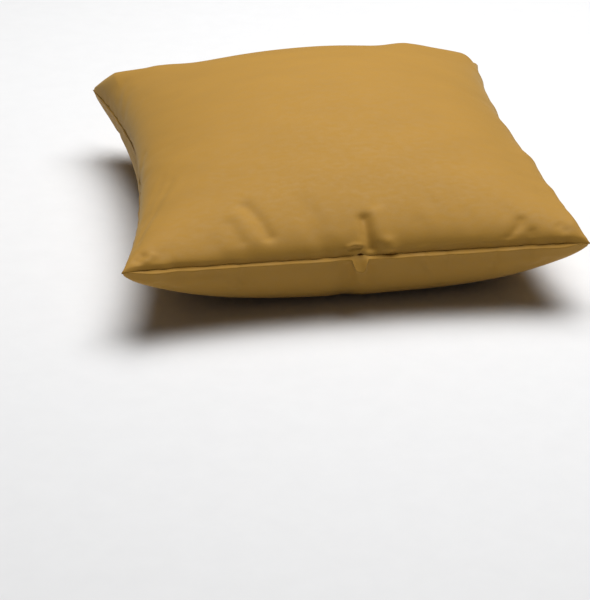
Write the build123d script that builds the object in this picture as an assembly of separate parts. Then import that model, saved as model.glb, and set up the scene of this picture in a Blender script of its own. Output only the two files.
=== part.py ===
"""Square velvet throw pillow, lying flat, with a zipped cover over a separate fibre-filled insert.

Millimetres, +Z up. The pillow rests on Z = 0 with its middle over the origin, and its zip is in the +Y seam.
Each layer is a pair of domes that meet near one curved seam surface, so every layer nests inside the last.
"""
from build123d import *
from math import exp, log, pi, sin
from typing import NamedTuple
import os

# ---- driving dimensions: the filled cover ----
HALF_SIDE = 215.0  # corner to middle, along one side; a 450 mm cover draws in this far when it is filled
SEAM_Z = 70.0  # height of the four corners
FRONT_CROWN = 78.0  # rise of the front panel above the seam surface
BACK_CROWN = 97.0  # fall of the back panel below it, before the floor flattens it
LEAN_X, LEAN_Y = 11.0, 28.0  # extra rise of the crown towards the +X and +Y sides
FRONT_FULLNESS, BACK_FULLNESS = 0.387, 0.408  # lower numbers make blunter, fuller sides
FRONT_PULL, LEFT_PULL, RIGHT_PULL, BACK_PULL = 16.0, 30.0, 17.0, 18.0  # how far each side draws in
FRONT_DROP, LEFT_DROP, RIGHT_DROP, BACK_DROP = 7.5, 1.0, 10.0, 9.0  # how far each seam's middle sags
PULL_CURVE = 2.3  # shape of the curve between two corners
ZIP_SIDE_STRAIGHT = 0.68  # part of the +Y side that the zip holds straight
FLOOR_BLEND = 4.0  # softness of the turn from the resting patch into the sides
FLOOR_PRESS = 0.4  # how far the pile is pressed flat under the resting patch

# ---- cloth and seams ----
VELVET = 1.5
CASING = 0.5
LAYER_GAP = 0.5  # between one cloth layer and the next
SEAM_GAP = 0.35  # half the gap between two sewn edges
ALLOWANCE = 10.0  # turned-in seam allowance of the cover
OVERLAP = 1.0  # how far a cutting block reaches past what it cuts
INSERT_INSET = 11.5  # insert seam, in from the cover seam
CASING_ALLOWANCE = 6.0
THREAD = 0.3
STITCH_INSET = 1.5

# ---- zip, in the middle of the +Y seam ----
CRACK = 1.0  # half the gap between the cover's two lips in front of the zip
POCKET_HALF_LENGTH, POCKET_HALF_HEIGHT = 138.0, 3.0
TAPE = 0.5
TAPE_HALF_LENGTH = 137.0
CHAIN_HALF_LENGTH = 131.0
TOOTH_PITCH, TOOTH_WIDTH, TOOTH_REACH = 2.0, 0.9, 0.45
CHAIN_DEPTH = 1.8
SPINE_IN, SPINE_OUT, RIDGE_OUT, RIDGE_DEPTH = 1.0, 1.2, 1.6, 0.7
STOP_PROUD = 0.2  # how far a stop stands past the chain's ridge
TOP_STOP_LENGTH, BOTTOM_STOP_LENGTH = 2.2, 2.6
SLIDER_X = 126.0  # middle of the slider when the zip is closed
SLIDER_LENGTH = 9.0
RUN_CLEARANCE = 0.3  # between the slider and the chain that it rides on
SIDE_CLEARANCE = 0.25  # between the slider's hooks and the chain's ridges
PULL_LENGTH = 22.0

GRID = 33  # points each way on a dome
ZIP_Y = HALF_SIDE - BACK_PULL  # the lips' outer edge
ZIP_Z = SEAM_Z - BACK_DROP
TAPE_Y = ZIP_Y - 5.0  # front face of the tapes, which the chain stands on
CHAIN_Y = TAPE_Y + CHAIN_DEPTH


class Skin(NamedTuple):
    """One dome: its outline's inset, its depth under the outer skin, and its edge's lift off the seam."""

    inset: float
    depth: float
    lift: float
    zip_lift: float


OUTER = Skin(0.0, 0.0, SEAM_GAP, CRACK)
INNER = Skin(VELVET, VELVET, SEAM_GAP + VELVET, CRACK + VELVET)
CASING_DEPTH = VELVET + LAYER_GAP
CASING_OUTER = Skin(INSERT_INSET, CASING_DEPTH, SEAM_GAP, SEAM_GAP)
CASING_LIFT = SEAM_GAP + CASING
CASING_INNER = Skin(INSERT_INSET + CASING, CASING_DEPTH + CASING, CASING_LIFT, CASING_LIFT)
FILL_INSET = INSERT_INSET + CASING_ALLOWANCE + 1.0
FILL_DEPTH = CASING_DEPTH + CASING + LAYER_GAP
FILL_SKIN = Skin(FILL_INSET, FILL_DEPTH, LAYER_GAP, LAYER_GAP)


# ---- the pillow's shape ----
def straight_share(u):
    """1 along the zip side's straight stretch, easing to 0 at its two corners."""
    return 1 - (max(abs(u) - ZIP_SIDE_STRAIGHT, 0.0) / (1 - ZIP_SIDE_STRAIGHT)) ** 2


def pull_share(u):
    """1 in the middle of a plain side, easing to 0 at its two corners."""
    return 1 - abs(u) ** PULL_CURVE


def plan_point(u, v, inset):
    """X and Y for u and v from -1 to 1 across the pillow, inside an outline that is inset from the seam."""
    half = HALF_SIDE - inset
    left = -half + LEFT_PULL * pull_share(v)
    right = half - RIGHT_PULL * pull_share(v)
    front = -half + FRONT_PULL * pull_share(u)
    back = half - BACK_PULL * straight_share(u)
    return left + (right - left) * (1 + u) / 2, front + (back - front) * (1 + v) / 2


def seam_height(u, v):
    """Height of the curved surface that carries all four seams."""
    across = (FRONT_DROP * (1 - v) / 2) * (1 - u * u) + BACK_DROP * (1 + v) / 2 * straight_share(u)
    along = (LEFT_DROP * (1 - u) + RIGHT_DROP * (1 + u)) / 2 * (1 - v * v)
    counted_twice = (FRONT_DROP + BACK_DROP + LEFT_DROP + RIGHT_DROP) / 4 * (1 - u * u) * (1 - v * v)
    return SEAM_Z - across - along + counted_twice


def edge_lift(u, v, skin):
    """Distance from the seam surface to a skin's edge; it is wider where the zip is."""
    return skin.lift + (skin.zip_lift - skin.lift) * straight_share(u) * max(v, 0.0) ** 4


def skin_point(u, v, skin, side):
    """A point on one skin. side is 1 for the front panel's dome and -1 for the back panel's."""
    x, y = plan_point(u, v, skin.inset)
    lift = edge_lift(u, v, skin)
    bulge = max((1 - u * u) * (1 - v * v), 0.0)
    if side > 0:
        rise = (FRONT_CROWN + LEAN_X * u + LEAN_Y * v - skin.depth - lift) * bulge**FRONT_FULLNESS
        return Vector(x, y, seam_height(u, v) + lift + rise)
    fall = (BACK_CROWN - skin.depth - lift) * bulge**BACK_FULLNESS
    above_floor = (seam_height(u, v) - lift - fall - skin.depth + FLOOR_PRESS) / FLOOR_BLEND
    softened = log(1 + exp(above_floor)) if above_floor < 30 else above_floor
    return Vector(x, y, skin.depth - FLOOR_PRESS + FLOOR_BLEND * softened)


def spread(i):
    """Grid line i, from -1 to 1, with the lines closer together near the sides, where the domes are steep."""
    return sin((2 * i / (GRID - 1) - 1) * pi / 2)


def dome(skin, side):
    rows = [[skin_point(spread(i), spread(j), skin, side) for j in range(GRID)] for i in range(GRID)]
    return Face.make_surface_from_array_of_points(rows, tol=1e-2, max_deg=3)


# ---- building blocks ----
SIDES = ("front", "right", "back", "left")


def side_uv(side_name, t):
    """u and v at t from -1 to 1 along one side, counter-clockwise."""
    return {"front": (t, -1.0), "right": (1.0, t), "back": (-t, 1.0), "left": (-1.0, -t)}[side_name]


def side_edge(side_name, inset, height_of):
    """A smooth edge along one side, inset from the seam, at the height that height_of(u, v) gives."""
    points = []
    for i in range(GRID):
        u, v = side_uv(side_name, spread(i))
        x, y = plan_point(u, v, inset)
        points.append(Vector(x, y, height_of(u, v)))
    return Edge.make_spline(points)


def same_way(edge, other):
    """other, turned round if it runs against edge."""
    start = edge.position_at(0)
    near, far = other.position_at(0), other.position_at(1)
    return other if (near - start).length < (far - start).length else other.reversed()


def ruled(edge_a, edge_b):
    return Face.make_surface_from_curves(edge_a, same_way(edge_a, edge_b))


def dome_edge(face, side_name):
    """The edge of a dome that lies along one side."""
    u, v = side_uv(side_name, 0.0)
    return max(face.edges(), key=lambda e: u * e.center().X + v * e.center().Y)


def panel(outer_skin, inner_skin, allowance, side):
    """A sewn panel: a domed cloth shell whose edges turn in level, as a seam allowance all the way round."""
    outer, inner = dome(outer_skin, side), dome(inner_skin, side)
    faces = [outer, inner]
    inset = outer_skin.inset + allowance
    for name in SIDES:
        near = side_edge(name, inset, lambda u, v: seam_height(u, v) + side * edge_lift(u, v, outer_skin))
        far = side_edge(name, inset, lambda u, v: seam_height(u, v) + side * edge_lift(u, v, inner_skin))
        faces += [ruled(dome_edge(outer, name), near), ruled(near, far), ruled(far, dome_edge(inner, name))]
    return Solid(Shell(faces))


def seam_thread(side_names, inset):
    """Stitching between two turned-in edges, as one flat thread along each side."""
    half = THREAD / 2
    threads = []
    for name in side_names:
        corners = [(0, -half), (THREAD, -half), (THREAD, half), (0, half)]
        edges = []
        for across, rise in corners:
            edges.append(side_edge(name, inset + across, lambda u, v: seam_height(u, v) + rise))
        faces = [ruled(edges[i], edges[(i + 1) % 4]) for i in range(4)]
        for end in (0, 1):
            faces.append(Face(Wire.make_polygon([edge.position_at(end) for edge in edges])))
        threads.append(Solid(Shell(faces)))
    return threads


def block(x, y, z):
    """A box from three (low, high) pairs."""
    size = [high - low for low, high in (x, y, z)]
    middle = [(low + high) / 2 for low, high in (x, y, z)]
    return Pos(*middle) * Box(*size)


def mirrored_z(part):
    """A part of the zip's upper half, turned over to make the lower half."""
    return mirror(part, about=Plane.XY.offset(ZIP_Z))


# ---- cover ----
def zip_pocket():
    """The room behind the lips that the chain and the slider need."""
    wall_y = ZIP_Y - VELVET
    return block(
        (-POCKET_HALF_LENGTH, POCKET_HALF_LENGTH),
        (ZIP_Y - ALLOWANCE - OVERLAP, wall_y),
        (ZIP_Z, ZIP_Z + POCKET_HALF_HEIGHT),
    )


def zip_shelf():
    """The allowance along the zip, set back from the crack to clear the slider."""
    bite = 0.3
    return block(
        (-POCKET_HALF_LENGTH - VELVET, POCKET_HALF_LENGTH + VELVET),
        (ZIP_Y - ALLOWANCE, ZIP_Y - VELVET + bite),
        (ZIP_Z + POCKET_HALF_HEIGHT, ZIP_Z + POCKET_HALF_HEIGHT + VELVET),
    )


def cover_front_panel():
    return panel(OUTER, INNER, ALLOWANCE, 1) - zip_pocket() + zip_shelf()


def cover_back_panel():
    below_rest = block((-HALF_SIDE, HALF_SIDE), (-HALF_SIDE, HALF_SIDE), (-ALLOWANCE, 0))
    shell = panel(OUTER, INNER, ALLOWANCE, -1) - mirrored_z(zip_pocket()) + mirrored_z(zip_shelf())
    return shell - below_rest


def cover_seam_thread(side_name):
    return Compound(children=seam_thread([side_name], STITCH_INSET))


def care_label():
    """A blank cloth label sewn above the zip's upper allowance, inside the cover."""
    width, height, thickness = 26.0, 11.0, 0.3
    x, y = 100.0, TAPE_Y - 2.0
    base = ZIP_Z + POCKET_HALF_HEIGHT + VELVET
    return block((x, x + width), (y, y + thickness), (base, base + height))


# ---- insert ----
def insert_front_casing():
    return panel(CASING_OUTER, CASING_INNER, CASING_ALLOWANCE, 1)


def insert_back_casing():
    return panel(CASING_OUTER, CASING_INNER, CASING_ALLOWANCE, -1)


def insert_seam_thread():
    return Compound(children=seam_thread(SIDES, INSERT_INSET + STITCH_INSET))


def fibre_fill():
    top, bottom = dome(FILL_SKIN, 1), dome(FILL_SKIN, -1)
    sides = [ruled(dome_edge(top, name), dome_edge(bottom, name)) for name in SIDES]
    return Solid(Shell([top, bottom, *sides]))


# ---- zip ----
def zip_tape():
    """The upper tape: one leg sewn under the shelf, the other turned down behind the chain."""
    top = ZIP_Z + POCKET_HALF_HEIGHT
    x = (-TAPE_HALF_LENGTH, TAPE_HALF_LENGTH)
    sewn_leg = block(x, (ZIP_Y - ALLOWANCE, TAPE_Y), (top - TAPE, top))
    chain_leg = block(x, (TAPE_Y - TAPE, TAPE_Y), (ZIP_Z + SPINE_IN, top))
    return sewn_leg + chain_leg


def zip_coil(phase):
    """The upper half of the chain: a spine, a ridge that the slider grips, and teeth that mesh below it."""
    count = int(2 * CHAIN_HALF_LENGTH / TOOTH_PITCH)
    spine, tips = ZIP_Z + SPINE_IN, ZIP_Z - TOOTH_REACH
    points = [(-CHAIN_HALF_LENGTH, ZIP_Z + SPINE_OUT), (-CHAIN_HALF_LENGTH, spine)]
    for i in range(count):
        middle = -CHAIN_HALF_LENGTH + (i + phase) * TOOTH_PITCH
        left, right = middle - TOOTH_WIDTH / 2, middle + TOOTH_WIDTH / 2
        points += [(left, spine), (left, tips), (right, tips), (right, spine)]
    points += [(CHAIN_HALF_LENGTH, spine), (CHAIN_HALF_LENGTH, ZIP_Z + SPINE_OUT)]
    face = Face(Wire.make_polygon([Vector(x, TAPE_Y, z) for x, z in points]))
    comb = Solid.extrude(face, Vector(0, CHAIN_DEPTH, 0))
    ridge = block(
        (-CHAIN_HALF_LENGTH, CHAIN_HALF_LENGTH),
        (CHAIN_Y - RIDGE_DEPTH, CHAIN_Y),
        (ZIP_Z + SPINE_OUT, ZIP_Z + RIDGE_OUT),
    )
    return comb + ridge


def zip_top_stops():
    """Two small clamps that stop the slider at the closed end, one on each tape."""
    x = (CHAIN_HALF_LENGTH, CHAIN_HALF_LENGTH + TOP_STOP_LENGTH)
    inner, outer = SPINE_IN - STOP_PROUD, RIDGE_OUT + STOP_PROUD
    upper = block(x, (TAPE_Y, CHAIN_Y), (ZIP_Z + inner, ZIP_Z + outer))
    return Compound(children=[upper, mirrored_z(upper)])


def zip_bottom_stop():
    """One clamp across both tapes at the open end."""
    half = RIDGE_OUT + STOP_PROUD
    x = (-CHAIN_HALF_LENGTH - BOTTOM_STOP_LENGTH, -CHAIN_HALF_LENGTH)
    return block(x, (TAPE_Y, CHAIN_Y), (ZIP_Z - half, ZIP_Z + half))


def zip_stitching():
    """The thread that sews the upper tape to the cover's allowance."""
    y = ZIP_Y - ALLOWANCE + 2.0
    z = ZIP_Z + POCKET_HALF_HEIGHT - TAPE
    half_length = TAPE_HALF_LENGTH - 1.0
    return block((-half_length, half_length), (y, y + THREAD), (z - THREAD, z))


# ---- slider and pull ----
WING_OUT = 0.4  # thickness of the slider's side wings
PLATE = 1.0
PLATE_ROUND = 0.45
NECK_HALF = 0.6  # half the neck's thickness, inside the crack
NECK_HALF_LENGTH = 3.0
NECK_WALL, NECK_ROUND = 0.9, 1.4
EYE_Y = ZIP_Y + 1.7  # pull's hinge line
EYE_HALF = 2.1  # half the eye bar's length
WINDOW_HALF_X, WINDOW_HALF_Y = 1.5, 0.8
PULL_THICK = 0.9
PULL_SLOT_LENGTH, PULL_SLOT_HALF = 4.4, 0.85  # the slot that the neck stands in
PULL_TIP_RADIUS, PULL_HOLE_RADIUS = 3.2, 1.5


def zip_slider_body():
    """A plate whose wings hook behind the chain's ridges, and a neck that holds the pull outside the lips."""
    plate_y = CHAIN_Y + RUN_CLEARANCE
    wing_in = RIDGE_OUT + SIDE_CLEARANCE
    hook_in = SPINE_OUT + SIDE_CLEARANCE
    x = (SLIDER_X - SLIDER_LENGTH / 2, SLIDER_X + SLIDER_LENGTH / 2)
    reach = wing_in + WING_OUT
    plate = block(x, (plate_y, plate_y + PLATE), (ZIP_Z - reach, ZIP_Z + reach))
    back_y = TAPE_Y + RUN_CLEARANCE
    wing = block(x, (back_y, plate_y), (ZIP_Z + wing_in, ZIP_Z + reach))
    hook = block(x, (back_y, CHAIN_Y - RIDGE_DEPTH - RUN_CLEARANCE), (ZIP_Z + hook_in, ZIP_Z + wing_in))
    body = plate + wing + hook + mirrored_z(wing) + mirrored_z(hook)
    outer_corners = body.edges().filter_by(Axis.Z).group_by(Axis.Y)[-1]
    return fillet(outer_corners, PLATE_ROUND) + slider_neck(plate_y + PLATE)


def slider_neck(base_y):
    """The bridge through the crack, with a window for the pull's eye."""
    top_y = EYE_Y + WINDOW_HALF_Y + NECK_WALL
    bridge = block(
        (SLIDER_X - NECK_HALF_LENGTH, SLIDER_X + NECK_HALF_LENGTH),
        (base_y, top_y),
        (ZIP_Z - NECK_HALF, ZIP_Z + NECK_HALF),
    )
    outer_corners = bridge.edges().filter_by(Axis.Z).group_by(Axis.Y)[-1]
    window = block(
        (SLIDER_X - WINDOW_HALF_X, SLIDER_X + WINDOW_HALF_X),
        (EYE_Y - WINDOW_HALF_Y, EYE_Y + WINDOW_HALF_Y),
        (ZIP_Z - OVERLAP, ZIP_Z + OVERLAP),
    )
    return fillet(outer_corners, NECK_ROUND) - window


def zip_pull_tab():
    """A teardrop tab on a round eye bar, lying along the closed zip."""
    eye_x = SLIDER_X + PULL_THICK / 2
    tip_x = SLIDER_X - PULL_LENGTH + PULL_TIP_RADIUS
    slot_x = SLIDER_X - PULL_SLOT_LENGTH
    upper = Polyline((eye_x, EYE_HALF), (slot_x, EYE_HALF), (tip_x, PULL_TIP_RADIUS))
    tip = ThreePointArc((tip_x, PULL_TIP_RADIUS), (tip_x - PULL_TIP_RADIUS, 0), (tip_x, -PULL_TIP_RADIUS))
    lower = mirror(upper, about=Plane.XZ)
    closing = Line((eye_x, EYE_HALF), (eye_x, -EYE_HALF))
    edges = upper.edges() + tip.edges() + lower.edges() + closing.edges()
    outline = Pos(0, EYE_Y, ZIP_Z) * (Plane.XZ * make_face(edges))
    tab = extrude(outline, amount=PULL_THICK / 2, both=True)
    slot = block(
        (slot_x, SLIDER_X + PULL_SLOT_LENGTH),
        (EYE_Y - PULL_THICK, EYE_Y + PULL_THICK),
        (ZIP_Z - PULL_SLOT_HALF, ZIP_Z + PULL_SLOT_HALF),
    )
    eye_bar = Pos(SLIDER_X, EYE_Y, ZIP_Z) * Cylinder(PULL_THICK / 2, 2 * EYE_HALF)
    hole = Pos(tip_x, EYE_Y, ZIP_Z) * Rot(90, 0, 0) * Cylinder(PULL_HOLE_RADIUS, 2 * PULL_THICK)
    return tab - slot + eye_bar - hole


# ---- write every node ----
def write_all():
    tape, stitching = zip_tape(), zip_stitching()
    nodes = {
        "cover_front_panel": cover_front_panel(),
        "cover_back_panel": cover_back_panel(),
        "cover_seam_thread_front": cover_seam_thread("front"),
        "cover_seam_thread_right": cover_seam_thread("right"),
        "cover_seam_thread_left": cover_seam_thread("left"),
        "care_label": care_label(),
        "insert_front_casing": insert_front_casing(),
        "insert_back_casing": insert_back_casing(),
        "insert_seam_thread": insert_seam_thread(),
        "fibre_fill": fibre_fill(),
        "zip_tape_upper": tape,
        "zip_tape_lower": mirrored_z(tape),
        "zip_coil_upper": zip_coil(0.25),
        "zip_coil_lower": mirrored_z(zip_coil(0.75)),
        "zip_top_stops": zip_top_stops(),
        "zip_bottom_stop": zip_bottom_stop(),
        "zip_stitching_upper": stitching,
        "zip_stitching_lower": mirrored_z(stitching),
        "zip_slider_body": zip_slider_body(),
        "zip_pull_tab": zip_pull_tab(),
    }
    os.makedirs("parts", exist_ok=True)
    for name, shape in nodes.items():
        export_step(shape, f"parts/{name}.step")


write_all()
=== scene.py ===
"""A mustard velvet throw pillow around its CAD frame: sewn cover, zip, insert, materials, light and camera.

The shape numbers are in millimetres, as in the CAD source, and become metres where a mesh is made.
The cover is one closed surface. A cloth simulation inflates it, its wrinkles are laid on the pillow's own
smooth shape, folds are drawn on it, and the rolled seam edges and the zip's lips are built on afterwards.
"""
import math

import bpy
import numpy as np
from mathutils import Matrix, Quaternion, Vector


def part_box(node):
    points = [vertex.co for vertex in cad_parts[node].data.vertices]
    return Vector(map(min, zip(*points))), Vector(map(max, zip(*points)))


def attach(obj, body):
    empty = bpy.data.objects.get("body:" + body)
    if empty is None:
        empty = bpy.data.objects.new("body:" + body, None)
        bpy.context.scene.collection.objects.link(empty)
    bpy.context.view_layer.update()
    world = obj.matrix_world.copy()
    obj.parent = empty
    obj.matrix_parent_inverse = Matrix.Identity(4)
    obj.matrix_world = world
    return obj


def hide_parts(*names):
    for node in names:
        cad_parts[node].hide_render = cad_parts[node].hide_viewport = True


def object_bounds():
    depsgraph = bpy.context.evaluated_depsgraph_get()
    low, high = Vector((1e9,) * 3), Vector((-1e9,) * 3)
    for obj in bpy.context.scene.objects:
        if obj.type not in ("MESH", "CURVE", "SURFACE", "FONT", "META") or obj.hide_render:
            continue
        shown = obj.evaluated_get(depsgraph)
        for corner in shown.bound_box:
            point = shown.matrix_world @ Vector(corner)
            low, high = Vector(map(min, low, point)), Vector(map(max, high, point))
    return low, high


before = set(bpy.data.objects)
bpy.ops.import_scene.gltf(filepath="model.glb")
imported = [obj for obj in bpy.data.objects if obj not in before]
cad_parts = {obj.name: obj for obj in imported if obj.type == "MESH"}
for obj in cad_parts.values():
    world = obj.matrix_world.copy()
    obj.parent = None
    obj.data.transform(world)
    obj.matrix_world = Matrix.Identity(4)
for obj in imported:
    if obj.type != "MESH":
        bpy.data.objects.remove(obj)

CAD_BOUNDS = [list(corner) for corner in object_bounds()]
MM = 0.001

# ---- the pillow's shape, in millimetres ----
# Over the pillow u runs from -1 at the left to 1 at the right, and v from -1 at the front to 1 at the back.
HALF_SIDE = round(CAD_BOUNDS[1][0] / MM)  # half the way from corner to corner along a side
SEAM_Z = 70.0  # height of the corners
FRONT_CROWN, BACK_CROWN = 78.0, 97.0  # how far the middle of each panel stands off the seams
LEAN_X, LEAN_Y = 11.0, 28.0  # the front panel stands higher towards the back right
FRONT_FULLNESS, BACK_FULLNESS = 0.387, 0.408  # the lower, the steeper a panel rises from its seam
FRONT_PULL, LEFT_PULL, RIGHT_PULL, BACK_PULL = 16.0, 30.0, 17.0, 18.0  # how far the sides draw in
FRONT_DROP, LEFT_DROP, RIGHT_DROP, BACK_DROP = 7.5, 1.0, 10.0, 9.0  # how far the seams hang
PULL_CURVE = 2.3  # the higher, the longer a side's middle stays straight
ZIP_SIDE_STRAIGHT = 0.68  # the share of the back seam that the zip keeps straight
FLOOR_BLEND = 5.0  # rounds the rim of the patch that rests on the floor
ZIP_Y = HALF_SIDE - BACK_PULL
ZIP_HALF_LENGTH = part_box("zip_tape_upper")[1].x / MM

SIM_GRID = 121
FINE_GRID = 241
INNER_GRID = 121  # for the insert and the fill, which the cover hides


def straight_share(u):
    """1 along the zip's straight stretch of seam, easing to 0 at the corners."""
    return 1 - (np.maximum(np.abs(u) - ZIP_SIDE_STRAIGHT, 0) / (1 - ZIP_SIDE_STRAIGHT)) ** 2


def plan(u, v, inset):
    """x and y of places on the pillow, in a layer inset from the cover's outline."""
    pull_u, pull_v = 1 - np.abs(u) ** PULL_CURVE, 1 - np.abs(v) ** PULL_CURVE
    half = HALF_SIDE - inset
    left, right = -half + LEFT_PULL * pull_v, half - RIGHT_PULL * pull_v
    front, back = -half + FRONT_PULL * pull_u, half - BACK_PULL * straight_share(u)
    return left + (right - left) * (1 + u) / 2, front + (back - front) * (1 + v) / 2


def seam_height(u, v):
    """Height of the curved surface that carries the four seams."""
    across = FRONT_DROP * (1 - v) / 2 * (1 - u * u) + BACK_DROP * (1 + v) / 2 * straight_share(u)
    along = (LEFT_DROP * (1 - u) + RIGHT_DROP * (1 + u)) / 2 * (1 - v * v)
    both = (FRONT_DROP + BACK_DROP + LEFT_DROP + RIGHT_DROP) / 4 * (1 - u * u) * (1 - v * v)
    return SEAM_Z - across - along + both


def smooth_skin(u, v, side, inset=0.0, depth=0.0):
    """A smooth layer of the pillow, depth under the cover: side is 1 for the front and -1 for the back."""
    x, y = plan(u, v, inset)
    bulge = np.maximum((1 - u * u) * (1 - v * v), 0)
    seam = seam_height(u, v)
    if side > 0:
        z = seam + (FRONT_CROWN + LEAN_X * u + LEAN_Y * v - depth) * bulge**FRONT_FULLNESS
    else:
        z = seam - (BACK_CROWN - depth) * bulge**BACK_FULLNESS
        z = depth + FLOOR_BLEND * np.logaddexp(0, (z - depth) / FLOOR_BLEND)
    return np.stack([x, y, z], -1)


def arc_map(fixed_axis):
    """Distance over the pillow's middle section, from -1 to 1, and the u or v that belongs to it."""
    u = np.sin(np.linspace(-1, 1, 2001) * math.pi / 2)
    lengths = []
    for side in (1, -1):
        section = smooth_skin(u, 0 * u, side) if fixed_axis == "v" else smooth_skin(0 * u, u, side)
        steps = np.linalg.norm(np.diff(section, axis=0), axis=1)
        length = np.concatenate([[0], np.cumsum(steps)])
        lengths.append(2 * length / length[-1] - 1)
    return sum(lengths) / 2, u


ARC_U, ARC_V = arc_map("v"), arc_map("u")


def cloth_grid(n):
    """u and v of an n by n grid that is even along the seams and even over the cloth."""
    s = np.linspace(-1, 1, n)
    arc_u, arc_v = np.interp(s, *ARC_U), np.interp(s, *ARC_V)
    rise_u = np.maximum(1 - arc_u**2, 0) ** FRONT_FULLNESS
    rise_v = np.maximum(1 - arc_v**2, 0) ** FRONT_FULLNESS
    u = s[:, None] + rise_v[None, :] * (arc_u - s)[:, None]
    v = s[None, :] + rise_u[:, None] * (arc_v - s)[None, :]
    return u, v


# ---- cloth simulation ----
CUT_HALF = 225.0  # half the flat cut side of a panel, between seams
PRESSURE = 4.0
SIM_FRAMES = 20
PANEL_HALF_GAP = 0.5  # keeps the two flat panels of the rest shape apart


def panel_indices(n):
    """Vertex numbers of the front and back panels, which share their boundary."""
    front = np.arange(n * n).reshape(n, n)
    back = front.copy()
    back[1:-1, 1:-1] = n * n + np.arange((n - 2) ** 2).reshape(n - 2, n - 2)
    return front, back


def quads(index, flip=False):
    """The faces of a square grid of vertex numbers."""
    a, b, c, d = index[:-1, :-1], index[1:, :-1], index[1:, 1:], index[:-1, 1:]
    order = (a, d, c, b) if flip else (a, b, c, d)
    return np.stack([x.ravel() for x in order], -1)


def new_mesh(name, verts, faces):
    """A smooth-shaded object, from vertices in millimetres."""
    mesh = bpy.data.meshes.new(name)
    mesh.from_pydata([tuple(p) for p in np.asarray(verts) * MM], [], [tuple(map(int, f)) for f in faces])
    mesh.validate()
    mesh.update()
    mesh.polygons.foreach_set("use_smooth", [True] * len(mesh.polygons))
    obj = bpy.data.objects.new(name, mesh)
    bpy.context.scene.collection.objects.link(obj)
    return obj


def inflated(n):
    """Both panels' grids after the flat-cut cloth has been blown up from the smooth shape."""
    u, v = cloth_grid(n)
    front_index, back_index = panel_indices(n)
    verts = np.zeros((n * n + (n - 2) ** 2, 3))
    flat = verts.copy()
    s = np.linspace(-CUT_HALF, CUT_HALF, n)
    for index, side in ((back_index, -1), (front_index, 1)):
        verts[index] = smooth_skin(u, v, side)
        flat_z = np.full((n, n), PANEL_HALF_GAP * side)
        flat[index] = np.stack([*np.meshgrid(s, s, indexing="ij"), flat_z], -1)
    obj = new_mesh("inflating", verts, np.concatenate([quads(front_index), quads(back_index, flip=True)]))
    obj.shape_key_add(name="Basis")
    rest = obj.shape_key_add(name="flat")
    rest.data.foreach_set("co", (flat * MM).ravel())
    cloth = obj.modifiers.new("cloth", "CLOTH")
    settings = cloth.settings
    settings.quality = 6
    settings.mass = 0.15
    settings.tension_stiffness = 12
    settings.compression_stiffness = 8
    settings.shear_stiffness = 2
    settings.bending_stiffness = 0.3
    settings.air_damping = 2
    settings.use_pressure = True
    settings.uniform_pressure_force = PRESSURE
    settings.effector_weights.gravity = 0
    settings.rest_shape_key = rest
    cloth.point_cache.frame_start = 1
    cloth.point_cache.frame_end = SIM_FRAMES
    for step in range(1, SIM_FRAMES + 1):
        bpy.context.scene.frame_set(step)
    result = obj.evaluated_get(bpy.context.evaluated_depsgraph_get()).to_mesh()
    moved = np.zeros(len(verts) * 3)
    result.vertices.foreach_get("co", moved)
    moved = moved.reshape(-1, 3) / MM
    bpy.data.objects.remove(obj, do_unlink=True)
    bpy.context.scene.frame_set(1)
    return {1: moved[front_index], -1: moved[back_index]}


# ---- the cover's surface ----
WRINKLE_SPAN = 22.0  # features of the simulation wider than this give way to the smooth shape
WRINKLE_BLUR = 4.0  # takes the grid's own steps out of the wrinkles
WRINKLE_GAIN = 0.55
WRINKLE_LIMIT = 2.2


def blurred(grid, sigma):
    """A Gaussian blur, sigma cells wide, of a square grid of vectors that keeps its boundary in place."""
    reach = min(int(3.5 * sigma) + 1, grid.shape[0] - 1)
    weights = np.exp(-0.5 * (np.arange(-reach, reach + 1) / sigma) ** 2)
    weights /= weights.sum()
    for axis in (0, 1):
        g = np.moveaxis(grid, axis, 0)
        before, after = 2 * g[:1] - g[1 : reach + 1][::-1], 2 * g[-1:] - g[-reach - 1 : -1][::-1]
        padded = np.concatenate([before, g, after])
        g = sum(w * padded[k : k + len(g)] for k, w in enumerate(weights))
        grid = np.moveaxis(g, 0, axis)
    return grid


def refined(grid, n):
    """A grid resampled to n by n with smooth (Catmull-Rom) curves through its points."""
    for axis in (0, 1):
        g = np.moveaxis(grid, axis, 0)
        place = np.linspace(0, len(g) - 1, n)
        k = np.minimum(place.astype(int), len(g) - 2)
        t = (place - k)[:, None, None]
        g = np.concatenate([2 * g[:1] - g[1:2], g, 2 * g[-1:] - g[-2:-1]])
        p0, p1, p2, p3 = g[k], g[k + 1], g[k + 2], g[k + 3]
        g = p1 + 0.5 * t * (p2 - p0 + t * (2 * p0 - 5 * p1 + 4 * p2 - p3 + t * (3 * (p1 - p2) + p3 - p0)))
        grid = np.moveaxis(g, 0, axis)
    return grid


def normals_of(grid, side):
    normal = np.cross(np.gradient(grid, axis=0), np.gradient(grid, axis=1)) * side
    return normal / np.maximum(np.linalg.norm(normal, axis=-1, keepdims=True), 1e-9)


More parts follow.
